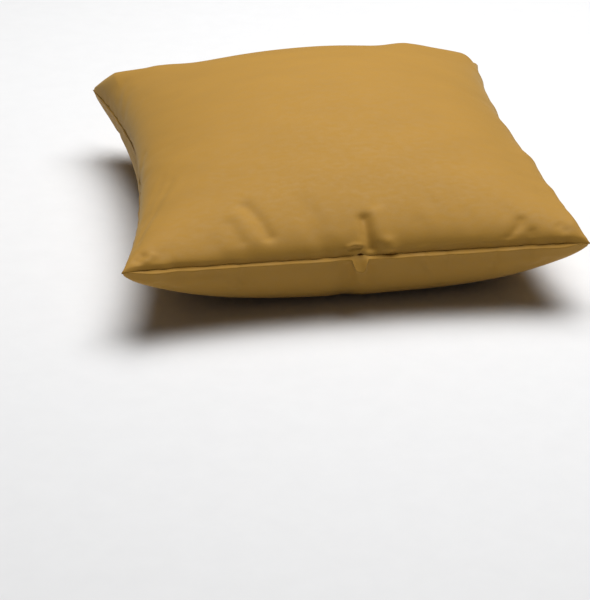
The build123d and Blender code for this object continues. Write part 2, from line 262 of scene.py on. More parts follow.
# Soft folds, as strokes on the flat-cut cloth: a path, its half-width and its height, in millimetres.
FRONT_FOLDS = (
    # where the fill pushes the panel out furthest
    (((-212, 208), (-148, 176)), 22.0, 8.0),
    (((112, 150), (182, 182)), 17.0, 6.0),
    (((191, -8), (195, -60)), 16.0, 3.0),
    (((196, -80), (199, -112)), 15.0, 6.2),
    (((205, -140), (220, -196)), 13.0, 5.2),
    # the groove that runs up from the pucker in the front seam, and the rolls beside it
    (((7, -180), (9, -197), (14, -216)), 3.5, -4.0),
    (((18, -176), (22, -203)), 5.2, 2.2),
    (((-7, -188), (-5, -198)), 8.0, -0.7),
    (((-7, -212), (-2, -209.5), (3, -211)), 1.9, 1.3),
    (((-5, -216), (-1, -214), (3, -215.5)), 1.9, -1.3),
    (((29, -210), (33, -218)), 4.6, 2.6),
    # the two creases left of it, and the rolls beside them
    (((-98, -154), (-87, -172), (-80, -192)), 4.6, -2.6),
    (((-106, -166), (-95, -194)), 9.0, 1.6),
    (((-112, -174), (-104, -196)), 4.6, -1.0),
    (((-124, -182), (-118, -203)), 6.0, 0.5),
    # the front left corner and the fine creases that leave the left seam
    (((-208, -214), (-203, -208)), 4.0, -2.0),
    (((-199, -217), (-192, -209)), 3.5, 1.2),
    (((-210, -178), (-166, -91)), 3.6, -0.55),
    (((-204, -182), (-157, -95)), 4.4, 0.45),
    (((-207, -146), (-174, -78)), 3.6, -0.4),
    (((-214, -40), (-196, -12)), 4.0, -0.8),
    (((-214, 108), (-190, 132)), 6.0, -0.6),
    (((-214, 140), (-192, 158)), 6.0, -0.7),
    # right of the pucker
    (((58, -190), (62, -214)), 6.0, -0.8),
    (((152, -197), (151, -203)), 4.0, -1.1),
    (((148, -211), (145, -219)), 4.0, -1.2),
    (((160, -200), (157, -214)), 5.5, 0.35),
    (((166, -214), (170, -223)), 3.6, -1.0),
    (((194, -208), (200, -214)), 4.0, -1.2),
    # the waves of the right-hand side
    (((222, -122), (198, -118)), 9.0, -1.6),
    (((224, -48), (198, -40)), 7.0, 0.8),
    (((224, 4), (194, 8)), 7.0, -1.5),
    (((224, 52), (200, 56)), 7.0, 1.1),
    (((224, 104), (196, 112)), 6.5, -1.4),
    (((224, 152), (202, 150)), 6.0, 1.2),
    (((221, 186), (204, 182)), 5.0, -1.4),
    # the back seam and the folded back right corner
    (((150, 221), (140, 196)), 6.0, -1.3),
    (((60, 222), (66, 198)), 8.0, -1.0),
    (((-70, 222), (-78, 200)), 8.0, -1.0),
    (((-160, 221), (-150, 198)), 6.0, -1.3),
    (((213, 221), (221, 213)), 3.0, 1.8),
)
BACK_FOLDS = (
    # the fold that hangs from the pucker, and the grooves beside it
    (((2, -206), (3, -202)), 4.2, 1.2),
    (((-7, -219), (-6, -205)), 3.6, -1.5),
    (((12, -219), (12.5, -205)), 3.6, -1.4),
    # where the panel would otherwise lift off the floor under the pucker
    (((-4, -163), (8, -163)), 9.0, 0.8),
    # creases under the front seam
    (((-112, -220), (-106, -212)), 2.0, -1.4),
    (((-120, -211), (-113, -206)), 2.2, 1.2),
    (((66, -221), (69, -212)), 2.2, -1.1),
    (((133, -220), (130, -210)), 2.4, -1.1),
    (((-190, -218), (-168, -204)), 4.0, -1.2),
    (((186, -218), (166, -204)), 4.0, -1.2),
    # the other three sides
    (((221, -120), (204, -108)), 5.0, -1.5),
    (((221, 30), (202, 36)), 6.0, -1.4),
    (((221, 150), (204, 144)), 5.0, -1.5),
    (((-221, -130), (-204, -120)), 5.0, -1.5),
    (((-221, 10), (-202, 4)), 6.0, -1.4),
    (((-221, 140), (-204, 150)), 5.0, -1.5),
    (((-170, 221), (-160, 204)), 5.0, -1.4),
    (((-60, 221), (-64, 203)), 6.0, -1.1),
    (((70, 221), (66, 203)), 6.0, -1.1),
    (((168, 221), (160, 204)), 5.0, -1.4),
)


def stroke(s, t, path, half_width):
    """A soft-ended stroke of height 1 along a path on the flat-cut cloth."""
    away = np.full(s.shape, np.inf)
    for start, end in zip(path, path[1:]):
        dx, dy = end[0] - start[0], end[1] - start[1]
        share = np.clip(((s - start[0]) * dx + (t - start[1]) * dy) / (dx * dx + dy * dy), 0, 1)
        away = np.minimum(away, np.hypot(s - start[0] - share * dx, t - start[1] - share * dy))
    return np.exp(-0.5 * (away / half_width) ** 2)


def flat_cloth(n):
    """Places on the flat-cut cloth of an n by n grid's points, and their distance from its edge."""
    line = np.linspace(-CUT_HALF, CUT_HALF, n)
    s, t = np.meshgrid(line, line, indexing="ij")
    return s, t, CUT_HALF - np.maximum(np.abs(s), np.abs(t))


def fold_height(n, side):
    """Height of all the folds of one panel; each fades out before the seam."""
    s, t, to_edge = flat_cloth(n)
    height = np.zeros((n, n))
    folds = FRONT_FOLDS if side > 0 else BACK_FOLDS
    for path, half_width, rise in folds:
        height += rise * stroke(s, t, path, half_width) * np.clip(to_edge / (1.2 * half_width), 0, 1)
    return height


def cover_moves():
    """How far each panel's fine grid leaves the smooth shape: simulated wrinkles and the folds above."""
    coarse = cloth_grid(SIM_GRID)
    fine = cloth_grid(FINE_GRID)
    sim = inflated(SIM_GRID)
    cell = 2 * CUT_HALF / (SIM_GRID - 1)
    moves = {}
    for side in (1, -1):
        moved = sim[side] - smooth_skin(*coarse, side)
        wrinkles = moved - blurred(moved, WRINKLE_SPAN / cell)
        wrinkles = WRINKLE_GAIN * blurred(wrinkles, max(WRINKLE_BLUR / cell, 0.6))
        wrinkles = WRINKLE_LIMIT * np.tanh(wrinkles / WRINKLE_LIMIT)
        smooth = smooth_skin(*fine, side)
        grid = smooth + refined(wrinkles, FINE_GRID)
        grid += normals_of(grid, side) * fold_height(FINE_GRID, side)[..., None]
        moves[side] = grid - smooth
    return moves


# ---- seam edges ----
# What differs between the panels is given by side: 1 is the front panel's lip, -1 the back panel's.
LIP_ROUND = {1: 0.18, -1: 1.2}  # radius of the rolled edge
LIP_OUT = {1: -1.5, -1: 2.7}  # the lower lip stands proud of the upper one and catches the light
LIP_START = {1: 20.0, -1: 38.0}  # where the roll leaves the panel, in degrees from level
LIP_FADE = {1: 15.0, -1: 26.0}  # how far from the seam the panel makes room for its roll
LIP_WOBBLE = 0.2
ROUND_AT_CORNER, ROUND_WOBBLE, ROUND_GRAIN = 0.55, 0.10, 0.06  # shares of LIP_ROUND
NOTCHES = (-108.0, 64.0, 84.0, 130.0, 161.0)  # places along the front seam where the lower lip dips
NOTCH_DEPTH, NOTCH_HALF_WIDTH = 0.8, 1.5
FRONT_LEDGE, OTHER_LEDGE = 0.9, 0.3  # shares of LIP_OUT and STRIP_RUN at the front and at the other sides
LEDGE_EXTRA, LEDGE_X, LEDGE_HALF_WIDTH = 0.25, 90, 60  # the front's share grows right of the middle
STRIP_RUN, STRIP_SLOPE = 3.8, 22.0  # the lit strip in front of the seam, its slope in degrees
SHORTEST_RUN = 0.1  # keeps the rows of an edge without a strip apart
CORNER_REACH = 28.0  # the lips flatten out over this distance before a corner
CORNER_GAP, CORNER_GAP_PLACE, CORNER_GAP_WIDTH = 0.22, 22, 12  # the seam opens a little beside a corner
SEAM_HALF_GAP, GAP_WOBBLE = 0.03, 0.02
ALLOWANCE = 6.0
PUCKER_X = 3.0  # place of the pucker along the front seam
PUCKER_LIFT, PUCKER_OUT, PUCKER_HALF_WIDTH = 1.8, 0.9, 6.0
TONGUE_RUN, TONGUE_SLOPE, TONGUE_HALF_WIDTH = 7.8, 58.0, 5.6  # the strip where it hangs down at the pucker
HOLE_X, HOLE_HALF_GAP, HOLE_HALF_WIDTH = PUCKER_X + 0.5, 1.2, 1.7  # the small hole above the tongue
HOLE_SETBACK = {1: 0.5, -1: 1.0}
LEFT_TUCK, TUCK_Y, TUCK_HALF_WIDTH = 4.5, 30, 45  # the left seam is tucked in under the front panel
ZIP_MARGIN, ZIP_EASE = 4.0, 5.0  # the zip's lips pass into plain ones this far beyond its tape
ZIP_LIP_ROUND = 0.75
ZIP_HALF_GAP = 1.0
ZIP_SHELF_UP, ZIP_SHELF_HALFWAY, ZIP_SHELF_IN = 3.05, 5.0, 10.1
ARC_STEPS = 8


def around(grid):
    """The grid's boundary points, counter-clockwise from the front left corner, once round."""
    return np.concatenate([grid[:-1, 0], grid[-1, :-1], grid[:0:-1, -1], grid[0, :0:-1]])


def loop_noise(count, waves, seed):
    """A smooth periodic wobble between about -1 and 1."""
    generator = np.random.default_rng(seed)
    t = np.arange(count) * 2 * math.pi / count
    total = np.zeros(count)
    for wave in waves:
        total += generator.normal() * np.cos(wave * t) + generator.normal() * np.sin(wave * t)
    return total / math.sqrt(len(waves))


def hill(x, middle, half_width):
    return np.exp(-0.5 * ((x - middle) / half_width) ** 2)


def eased(x):
    x = np.clip(x, 0, 1)
    return x * x * (3 - 2 * x)


def plain_lip(start, radius, out, gap, depth, slope=0.0, run=0.0):
    """(outward, upward) points of a rolled edge, the strip that slopes back from it and the turned-in end."""
    rows = []
    drop = run * np.tan(slope)
    run = run + SHORTEST_RUN
    centre_out, centre_up = out - radius, gap + drop + radius * np.cos(slope)
    for share in np.linspace(0, 1, ARC_STEPS):
        angle = math.radians(start) * (1 - share) + (slope - math.pi / 2) * share
        rows.append((centre_out + radius * np.cos(angle), centre_up + radius * np.sin(angle)))
    edge = centre_out + radius * np.sin(slope)
    for share in (0.5, 1.0):
        rows.append((edge - run * share, gap + drop * (1 - share)))
    for share in np.linspace(0, 1, 5)[1:]:
        rows.append((edge - run - depth * share, gap))
    shape = np.shape(rows[0][0])
    return np.array([[np.broadcast_to(value, shape) for value in row] for row in rows])


def zip_lip(count):
    """The same for an edge in front of the zip: a thin fold, then the shelf that the tape is sewn to."""
    r, gap = ZIP_LIP_ROUND, ZIP_HALF_GAP
    rows = []
    for angle in np.radians(np.linspace(35, -180, ARC_STEPS + 2)):
        rows.append((-r + r * math.cos(angle), gap + r + r * math.sin(angle)))
    rows += [(-2 * r, gap + 2 * r), (-2 * r, ZIP_SHELF_UP)]
    rows += [(-ZIP_SHELF_HALFWAY, ZIP_SHELF_UP), (-ZIP_SHELF_IN, ZIP_SHELF_UP)]
    return np.repeat(np.array(rows)[:, :, None], count, axis=2)


class Seam:
    """A layer's boundary: each point's place, outward direction in plan and distance from a corner."""

    def __init__(self, grid):
        side_count = len(grid) - 1
        self.place = around(grid)
        self.count = len(self.place)
        run = (np.roll(self.place, -1, axis=0) - np.roll(self.place, 1, axis=0))[:, :2]
        out = np.stack([run[:, 1], -run[:, 0]], -1)
        self.out = out / np.linalg.norm(out, axis=1, keepdims=True)
        corners = self.place[::side_count]
        self.to_corner = np.min(np.linalg.norm(self.place[:, None] - corners[None], axis=2), axis=1)
        x, y = self.place[:, 0], self.place[:, 1]
        self.at_front = np.arange(self.count) < side_count
        self.at_zip = eased((ZIP_HALF_LENGTH + ZIP_MARGIN - np.abs(x)) / ZIP_EASE) * (y > 0.8 * ZIP_Y)

    def moved(self, out, up):
        """The boundary moved outwards and upwards by so much at every point."""
        return self.place + np.concatenate([self.out * out[:, None], up[:, None]], axis=1)

    def turned_in(self, most):
        """Width of the turned-in edge, which the corners leave less room for."""
        return np.minimum(most, 0.3 * self.to_corner + 0.4)


def cover_lip(seam, side):
    """The rows of points that roll one panel's edge round into the cover's seam."""
    far = eased(seam.to_corner / CORNER_REACH)
    wobble = loop_noise(seam.count, range(37, 110, 9), 3 + side)
    fine = loop_noise(seam.count, range(120, 260, 17), 11 + side)
    x, y = seam.place[:, 0], seam.place[:, 1]
    front_ledge = FRONT_LEDGE + LEDGE_EXTRA * hill(x, LEDGE_X, LEDGE_HALF_WIDTH)
    ledge = np.where(seam.at_front, front_ledge, OTHER_LEDGE)
    pucker = hill(x, PUCKER_X, PUCKER_HALF_WIDTH) * seam.at_front
    hole = hill(x, HOLE_X, HOLE_HALF_WIDTH) * seam.at_front
    radius = LIP_ROUND[side] * (ROUND_AT_CORNER + (1 - ROUND_AT_CORNER) * far)
    radius = radius * (1 + ROUND_WOBBLE * wobble * far + ROUND_GRAIN * fine)
    gap = SEAM_HALF_GAP * far + CORNER_GAP * hill(seam.to_corner, CORNER_GAP_PLACE, CORNER_GAP_WIDTH)
    gap = gap + HOLE_HALF_GAP * hole + GAP_WOBBLE * np.abs(fine) * far
    out = LIP_OUT[side] * far * ledge + LIP_WOBBLE * wobble * far - HOLE_SETBACK[side] * hole
    slope, run = 0.0, 0.0
    if side < 0:
        tongue = np.exp(-0.5 * ((x - PUCKER_X) / TONGUE_HALF_WIDTH) ** 6) * seam.at_front
        notch = sum(hill(x, middle, NOTCH_HALF_WIDTH) for middle in NOTCHES) * seam.at_front
        slope = np.radians(STRIP_SLOPE * far + (TONGUE_SLOPE - STRIP_SLOPE) * tongue)
        run = STRIP_RUN * far * ledge + (TONGUE_RUN - STRIP_RUN) * tongue
        out = out + (TONGUE_RUN - STRIP_RUN) * tongue - NOTCH_DEPTH * notch
    plain = plain_lip(LIP_START[side], radius, out, gap, seam.turned_in(ALLOWANCE), slope, run)
    points = plain + seam.at_zip * (zip_lip(seam.count) - plain)
    tuck = LEFT_TUCK * hill(y, TUCK_Y, TUCK_HALF_WIDTH) * (x < -0.7 * HALF_SIDE)
    return [seam.moved(o + PUCKER_OUT * pucker - tuck, PUCKER_LIFT * pucker + side * up) for o, up in points]


def ring_quads(a, b, flip):
    a2, b2 = np.roll(a, -1), np.roll(b, -1)
    order = (a, b, b2, a2) if flip else (a, a2, b2, b)
    return np.stack(order, -1)


def make_room(grid, edge_move, fade_length):
    """Moves a panel's border by edge_move at the seam, fading out over fade_length."""
    n = len(grid)
    closed = np.append(edge_move, edge_move[:1], 0)
    front, right = closed[:n], closed[n - 1 : 2 * n - 1]
    back, left = closed[2 * n - 2 : 3 * n - 2][::-1], closed[3 * n - 3 :][::-1]
    sides = (
        (grid[:, :1], front[:, None]), (grid[:, -1:], back[:, None]),
        (grid[:1], left[None]), (grid[-1:], right[None]),
    )
    total, weight = np.zeros_like(grid), np.zeros(grid.shape[:2])
    for line, move in sides:
        distance = np.linalg.norm(grid - line, axis=-1)
        fade = np.clip(1 - distance / fade_length, 0, 1) ** 2
        closeness = fade / (distance + 0.05)  # finite at the seam itself
        total += (closeness * fade)[..., None] * move
        weight += closeness
    return grid + total / np.maximum(weight, 1e-9)[..., None]


def sewn_shell(name, grids, seam, lip, fades):
    """One closed surface: two panels whose rolled edges meet inside the seam."""
    n = len(grids[1])
    index = np.arange(n * n).reshape(n, n)
    loop = around(index)
    count = len(loop)
    verts, faces, inner_loops, offset = [], [], [], 0
    for side in (1, -1):
        rows = lip(seam, side)
        grid = make_room(grids[side], rows[0] - seam.place, fades[side])
        faces.append(quads(index, flip=side < 0) + offset)
        verts += [grid.reshape(-1, 3), *rows[1:]]
        rolled = offset + n * n + np.arange(count)
        rings = [loop + offset] + [rolled + k * count for k in range(len(rows) - 1)]
        for a, b in zip(rings[:-1], rings[1:]):
            faces.append(ring_quads(a, b, flip=side > 0))
        inner_loops.append(rings[-1])
        offset += n * n + count * (len(rows) - 1)
    faces.append(ring_quads(*inner_loops, flip=True))
    return new_mesh(name, np.concatenate(verts), np.concatenate(faces))


MOVES = cover_moves()


def make_cover():
    u, v = cloth_grid(FINE_GRID)
    grids = {side: smooth_skin(u, v, side) + MOVES[side] for side in (1, -1)}
    grids[-1][..., 2] = np.maximum(grids[-1][..., 2], 0.0)
    seam = Seam(grids[1])
    cover = sewn_shell("velvet_cover", grids, seam, cover_lip, LIP_FADE)
    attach(cover, "pillow")
    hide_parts("cover_front_panel", "cover_back_panel")
    return cover, seam


cover, cover_seam = make_cover()


# ---- stitches ----
STITCH_PITCH = 3.0
THREAD_RADIUS, THREAD_SIDES = 0.17, 6
COVER_STITCH_INSET, CASING_STITCH_INSET = 3.4, 1.6
COVER_STITCH_REACH, CASING_STITCH_REACH = 0.75, 0.5  # half the height of a stitch, through both layers


def thread(path):
    """Vertices and faces of a thread along a path, as a closed round tube."""
    path = np.asarray(path, float)
    ahead = np.gradient(path, axis=0)
    ahead /= np.linalg.norm(ahead, axis=1, keepdims=True)
    across = np.cross(ahead, np.broadcast_to([0.13, 0.97, 0.2], ahead.shape))  # no stitch runs that way
    across /= np.linalg.norm(across, axis=1, keepdims=True)
    other = np.cross(ahead, across)
    angle = np.arange(THREAD_SIDES) * 2 * math.pi / THREAD_SIDES
    ring = across[:, None] * np.cos(angle)[None, :, None] + other[:, None] * np.sin(angle)[None, :, None]
    verts = (path[:, None] + THREAD_RADIUS * ring).reshape(-1, 3)
    index = np.arange(len(verts)).reshape(len(path), THREAD_SIDES)
    faces = [tuple(f) for a, b in zip(index[:-1], index[1:]) for f in ring_quads(a, b, flip=True)]
    return verts, faces + [tuple(index[0][::-1]), tuple(index[-1])]


def stitch_path(places, outs, inset, reach):
    """A running stitch through both layers along a seam: up, along, down, along."""
    steps = np.concatenate([[0], np.cumsum(np.linalg.norm(np.diff(places, axis=0), axis=1))])
    holes = np.arange(STITCH_PITCH, steps[-1] - STITCH_PITCH, STITCH_PITCH)
    at = np.stack([np.interp(holes, steps, places[:, k]) for k in range(3)], -1)
    out = np.stack([np.interp(holes, steps, outs[:, k]) for k in range(2)], -1)
    at[:, :2] -= inset * out
    path = []
    for i, hole in enumerate(at):
        way = 1 if i % 2 else -1
        for share in (-1.0, -0.8, 0.8, 1.0):
            slant = np.zeros(3)
            if i + 1 < len(at) and abs(share) == 1.0:
                slant = (at[i + 1] - hole) * 0.12 * share
            path.append(hole + slant + [0, 0, way * share * reach])
    return path


def make_stitches(name, seam, spans, inset, reach, replaced):
    """The thread of one or more sides of a seam, as one piece that takes a CAD node's place."""
    verts, faces, offset = [], [], 0
    places, outs = np.append(seam.place, seam.place[:1], 0), np.append(seam.out, seam.out[:1], 0)
    quarter = seam.count // 4
    for side in spans:
        run = slice(side * quarter + 2, (side + 1) * quarter - 1)
        thread_verts, thread_faces = thread(stitch_path(places[run], outs[run], inset, reach))
        verts.append(thread_verts)
        faces += [tuple(k + offset for k in face) for face in thread_faces]
        offset += len(thread_verts)
    stitches = new_mesh(name, np.concatenate(verts), faces)
    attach(stitches, "pillow")
    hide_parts(replaced)
    return stitches


SEAM_SIDES = {"front": 0, "right": 1, "left": 3}  # counter-clockwise; the zip takes side 2
cover_stitches = [
    make_stitches(
        f"{name}_seam_stitches", cover_seam, [side], COVER_STITCH_INSET, COVER_STITCH_REACH,
        f"cover_seam_thread_{name}",
    )
    for name, side in SEAM_SIDES.items()
]


# ---- insert and fill, inside the cover ----
INSERT_INSET, INSERT_DEPTH = 11.5, 3.4
FILL_INSET, FILL_DEPTH = 19.0, 5.6
INNER_EASE = 12.0  # the wrinkles, gathers and tufts fade out over this distance before the edge
INNER_LIP_START = 35.0
CASING_ROUND, CASING_HALF_GAP, CASING_ALLOWANCE, CASING_FADE = 0.7, 0.15, 5.0, 6.0
FILL_ROUND, FILL_FADE = 0.6, 4.0
GATHER_HEIGHT, GATHER_REACH = 0.5, 16.0  # the gathers along the casing's seam
GATHER_WAVE, GATHER_DRIFT = 0.52, 0.11  # their waves and how those shift, in radians per millimetre
TUFT_HEIGHT, TUFT_WAVES = 1.3, 14
TUFT_FINENESS = 0.24  # of the finest tufts, in radians per millimetre


def inner_grids(inset, depth, extra):
    """Grids of a layer that follows the cover's wrinkles; extra(s, t, side) is a height along the normal."""
    u, v = cloth_grid(INNER_GRID)
    s, t, to_edge = flat_cloth(INNER_GRID)
    share = eased(to_edge / INNER_EASE)[..., None]
    grids = {}
    for side in (1, -1):
        grid = smooth_skin(u, v, side, inset, depth) + refined(MOVES[side], INNER_GRID) * share
        grid += normals_of(grid, side) * (extra(s, t, side) * share[..., 0])[..., None]
        grids[side] = grid
    grids[-1][..., 2] = np.maximum(grids[-1][..., 2], depth)
    return grids


def casing_gathers(s, t, side):
    """Small gathers along the insert's seam."""
    to_edge = CUT_HALF - np.maximum(np.abs(s), np.abs(t))
    along = np.where(np.abs(s) > np.abs(t), t, s)
    gathers = 1 + np.sin(along * GATHER_WAVE + 2 * np.sin(along * GATHER_DRIFT) + side)
    return -GATHER_HEIGHT * np.exp(-to_edge / GATHER_REACH) * gathers


def fill_tufts(s, t, side):
    """Rounded tufts of fibre, all inwards of the smooth layer."""
    waves = 0.0
    generator = np.random.default_rng(23 + side)
    for _ in range(TUFT_WAVES):
        kx, ky = generator.uniform(-TUFT_FINENESS, TUFT_FINENESS, 2)
        phase = generator.uniform(0, 6.3)
        waves = waves + np.sin(kx * s + ky * t + phase)
    return -TUFT_HEIGHT * (0.5 + 0.5 * np.tanh(waves / 2.5))


def casing_lip(seam, side):
    depth = seam.turned_in(CASING_ALLOWANCE)
    rows = plain_lip(INNER_LIP_START, np.full(seam.count, CASING_ROUND), 0.0, CASING_HALF_GAP, depth)
    return [seam.moved(o, side * up) for o, up in rows]


def fill_lip(seam, side):
    """Only the start of a roll, which rounds the batt's rim."""
    rows = plain_lip(INNER_LIP_START, np.full(seam.count, FILL_ROUND), 0.0, 0.0, 0.0)
    return [seam.moved(o, side * up) for o, up in rows[:3]]


def make_insert():
    grids = inner_grids(INSERT_INSET, INSERT_DEPTH, casing_gathers)
    seam = Seam(grids[1])
    casing = sewn_shell("insert_casing", grids, seam, casing_lip, {1: CASING_FADE, -1: CASING_FADE})
    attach(casing, "pillow")
    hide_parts("insert_front_casing", "insert_back_casing")
    stitches = make_stitches(
        "insert_stitches", seam, range(4), CASING_STITCH_INSET, CASING_STITCH_REACH,
        "insert_seam_thread",
    )
    return casing, stitches


def make_fill():
    grids = inner_grids(FILL_INSET, FILL_DEPTH, fill_tufts)
    fill = sewn_shell("fibre_batt", grids, Seam(grids[1]), fill_lip, {1: FILL_FADE, -1: FILL_FADE})
    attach(fill, "pillow")
    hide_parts("fibre_fill")
    return fill


insert_casing, insert_stitches = make_insert()
fibre_batt = make_fill()


# ---- materials ----
def node(tree, kind, **values):
    """A new node whose settings and inputs have the given values."""
    made = tree.nodes.new(kind)
    for key, value in values.items():
        if hasattr(made, key):
            setattr(made, key, value)
        else:
            made.inputs[key.replace("_", " ")].default_value = value
    return made


def new_material(name, **values):
    """A material whose shader has the given constants."""
    material = bpy.data.materials.new(name)
    material.use_nodes = True
    shader = material.node_tree.nodes["Principled BSDF"]
    for key, value in values.items():
        shader.inputs[key.replace("_", " ")].default_value = value
    return material, material.node_tree, shader


def stretched(tree, stretch):
    """The object's own coordinates, in metres, multiplied by stretch."""
    place = tree.nodes.new("ShaderNodeTexCoord")
    mapping = node(tree, "ShaderNodeMapping", Scale=stretch)
    tree.links.new(place.outputs["Object"], mapping.inputs["Vector"])
    return mapping.outputs["Vector"]


def noise(tree, scale, detail, roughness, stretch=(1.0, 1.0, 1.0)):
    """A noise with scale waves per metre; stretch makes it finer along some axes."""
    made = node(tree, "ShaderNodeTexNoise", Scale=scale, Detail=detail, Roughness=roughness)
    tree.links.new(stretched(tree, stretch), made.inputs["Vector"])
    return made.outputs["Fac"]


def ribs(tree, direction, pitch, wander):
    """Rounded ribs across one axis, pitch metres apart, that wander a little."""
    scale = 2 * math.pi / 20 / pitch  # the wave texture has 20 radians to a unit
    made = node(
        tree, "ShaderNodeTexWave", bands_direction=direction, Scale=scale, Distortion=wander, Detail_Scale=0.6
    )
    tree.links.new(stretched(tree, (1.0, 1.0, 1.0)), made.inputs["Vector"])
    return made.outputs["Fac"]


def math_node(tree, operation, a, b):
    """A math node on two numbers or sockets."""
    made = node(tree, "ShaderNodeMath", operation=operation)
    for socket, value in zip(made.inputs, (a, b)):
        if isinstance(value, (int, float)):
            socket.default_value = value
        else:
            tree.links.new(value, socket)
    return made.outputs[0]


def blended(tree, *parts):
    """A weighted sum of (weight, value) parts."""
    total = 0.0
    for weight, value in parts:
        total = math_node(tree, "ADD", math_node(tree, "MULTIPLY", value, weight), total)
    return total


def ramp(tree, factor, *stops):
    """Colours, or grey values, at places along a factor."""
    made = tree.nodes.new("ShaderNodeValToRGB")
    tree.links.new(factor, made.inputs["Fac"])
    while len(made.color_ramp.elements) < len(stops):
        made.color_ramp.elements.new(0.5)
    for element, (place, colour) in zip(made.color_ramp.elements, stops):
        element.position = place
        element.color = (*colour, 1.0) if isinstance(colour, tuple) else (colour, colour, colour, 1.0)
    return made.outputs["Color"]


def add_bumps(tree, shader, *layers):
    """Bumps of (height, distance in metres, strength), one over the other."""
    normal = None
    for height, distance, strength in layers:
        made = node(tree, "ShaderNodeBump", Strength=strength, Distance=distance)
        tree.links.new(height, made.inputs["Height"])
        if normal is not None:
            tree.links.new(normal, made.inputs["Normal"])
        normal = made.outputs["Normal"]
    tree.links.new(normal, shader.inputs["Normal"])


def velvet_material():
    """Short mustard pile: a faintly brushed nap, fine fibre grain and a soft satin sheen."""
    material, tree, shader = new_material(
        "velvet", Specular_IOR_Level=0.85, Specular_Tint=(1.0, 0.94, 0.76, 1.0),
        Sheen_Weight=0.12, Sheen_Roughness=0.55, Sheen_Tint=(1.0, 0.96, 0.60, 1.0),
    )
    brushed = noise(tree, 14, 3, 0.5, (1.0, 2.2, 1.0))
    nap = noise(tree, 120, 3, 0.55, (1.0, 2.0, 1.0))
    grain = noise(tree, 1100, 2, 0.6)
    fibre = noise(tree, 3200, 2, 0.7)
    shade = blended(tree, (0.30, brushed), (0.22, nap), (0.26, grain), (0.22, fibre))
    dark, middle, light = (0.324, 0.158, 0.0065), (0.360, 0.176, 0.0075), (0.396, 0.194, 0.0085)
    colour = ramp(tree, shade, (0.30, dark), (0.50, middle), (0.70, light))
    tree.links.new(colour, shader.inputs["Base Color"])
    tree.links.new(ramp(tree, nap, (0.3, 0.74), (0.7, 0.84)), shader.inputs["Roughness"])
    add_bumps(tree, shader, (nap, 0.0004, 0.12), (grain, 0.00016, 0.35), (fibre, 0.00008, 0.5))
    return material


def thread_material(name, dark, light):
    """Twisted sewing thread."""
    material, tree, shader = new_material(name, Roughness=0.55, Sheen_Weight=0.2, Sheen_Roughness=0.4)
    twist = ribs(tree, "DIAGONAL", 0.0007, 1.5)
    fuzz = noise(tree, 5200, 2, 0.6)
    shade = blended(tree, (0.55, twist), (0.45, fuzz))
    tree.links.new(ramp(tree, shade, (0.2, dark), (0.8, light)), shader.inputs["Base Color"])
    add_bumps(tree, shader, (twist, 0.00008, 0.7), (fuzz, 0.00004, 0.5))
    return material


def woven_material(name, dark, light, warp, weft, roughness):
    """A plain weave, with (axis, pitch) ribs for its warp and weft."""
    material, tree, shader = new_material(name, Sheen_Weight=0.25, Sheen_Roughness=0.45)
    over, under = ribs(tree, *warp, 0.8), ribs(tree, *weft, 0.8)
    cloth = math_node(tree, "MULTIPLY", over, under)
    slub = noise(tree, 260, 3, 0.6, (1.0, 1.0, 2.4))
    fuzz = noise(tree, 3600, 2, 0.6)
    shade = blended(tree, (0.45, cloth), (0.35, slub), (0.20, fuzz))
    tree.links.new(ramp(tree, shade, (0.2, dark), (0.7, light)), shader.inputs["Base Color"])
    dullness = ramp(tree, slub, (0.3, roughness - 0.08), (0.7, roughness + 0.06))
    tree.links.new(dullness, shader.inputs["Roughness"])
    add_bumps(tree, shader, (cloth, 0.00012, 0.8), (slub, 0.0002, 0.25), (fuzz, 0.00004, 0.4))
    return material


def nylon_material():
    """Moulded monofilament: smooth, slightly waxy, with heat-set marks."""
    material, tree, shader = new_material(
        "nylon_coil", Subsurface_Weight=0.08, Subsurface_Radius=(0.0012, 0.0007, 0.0003), IOR=1.53
    )
    marks = noise(tree, 900, 3, 0.6, (2.2, 1.0, 1.0))
    dust = noise(tree, 90, 3, 0.6)
    shade = blended(tree, (0.6, marks), (0.4, dust))
    colour = ramp(tree, shade, (0.3, (0.27, 0.125, 0.012)), (0.7, (0.40, 0.205, 0.026)))
    tree.links.new(colour, shader.inputs["Base Color"])
    tree.links.new(ramp(tree, marks, (0.3, 0.30), (0.7, 0.46)), shader.inputs["Roughness"])
    add_bumps(tree, shader, (marks, 0.00005, 0.5))
    return material


def enamel_material():
    """Mustard enamel on a zinc casting, scuffed through in small spots."""
    material, tree, shader = new_material("enamelled_zinc", Coat_Weight=0.25, Coat_Roughness=0.22)
    orange_peel = noise(tree, 1500, 2, 0.5)
    scuffs = noise(tree, 640, 4, 0.72, (1.0, 1.0, 2.5))
    wear = ramp(tree, scuffs, (0.655, 0.0), (0.70, 1.0))
    tone = ramp(tree, noise(tree, 120, 2, 0.5), (0.3, (0.33, 0.150, 0.014)), (0.7, (0.41, 0.200, 0.024)))
    mix = node(tree, "ShaderNodeMix", data_type="RGBA")
    tree.links.new(wear, mix.inputs[0])
    tree.links.new(tone, mix.inputs[6])
    mix.inputs[7].default_value = (0.56, 0.53, 0.48, 1.0)
    tree.links.new(mix.outputs[2], shader.inputs["Base Color"])
    tree.links.new(wear, shader.inputs["Metallic"])
    tree.links.new(ramp(tree, orange_peel, (0.3, 0.30), (0.7, 0.42)), shader.inputs["Roughness"])
    add_bumps(tree, shader, (orange_peel, 0.00003, 0.5), (scuffs, 0.00004, 0.3))
    return material


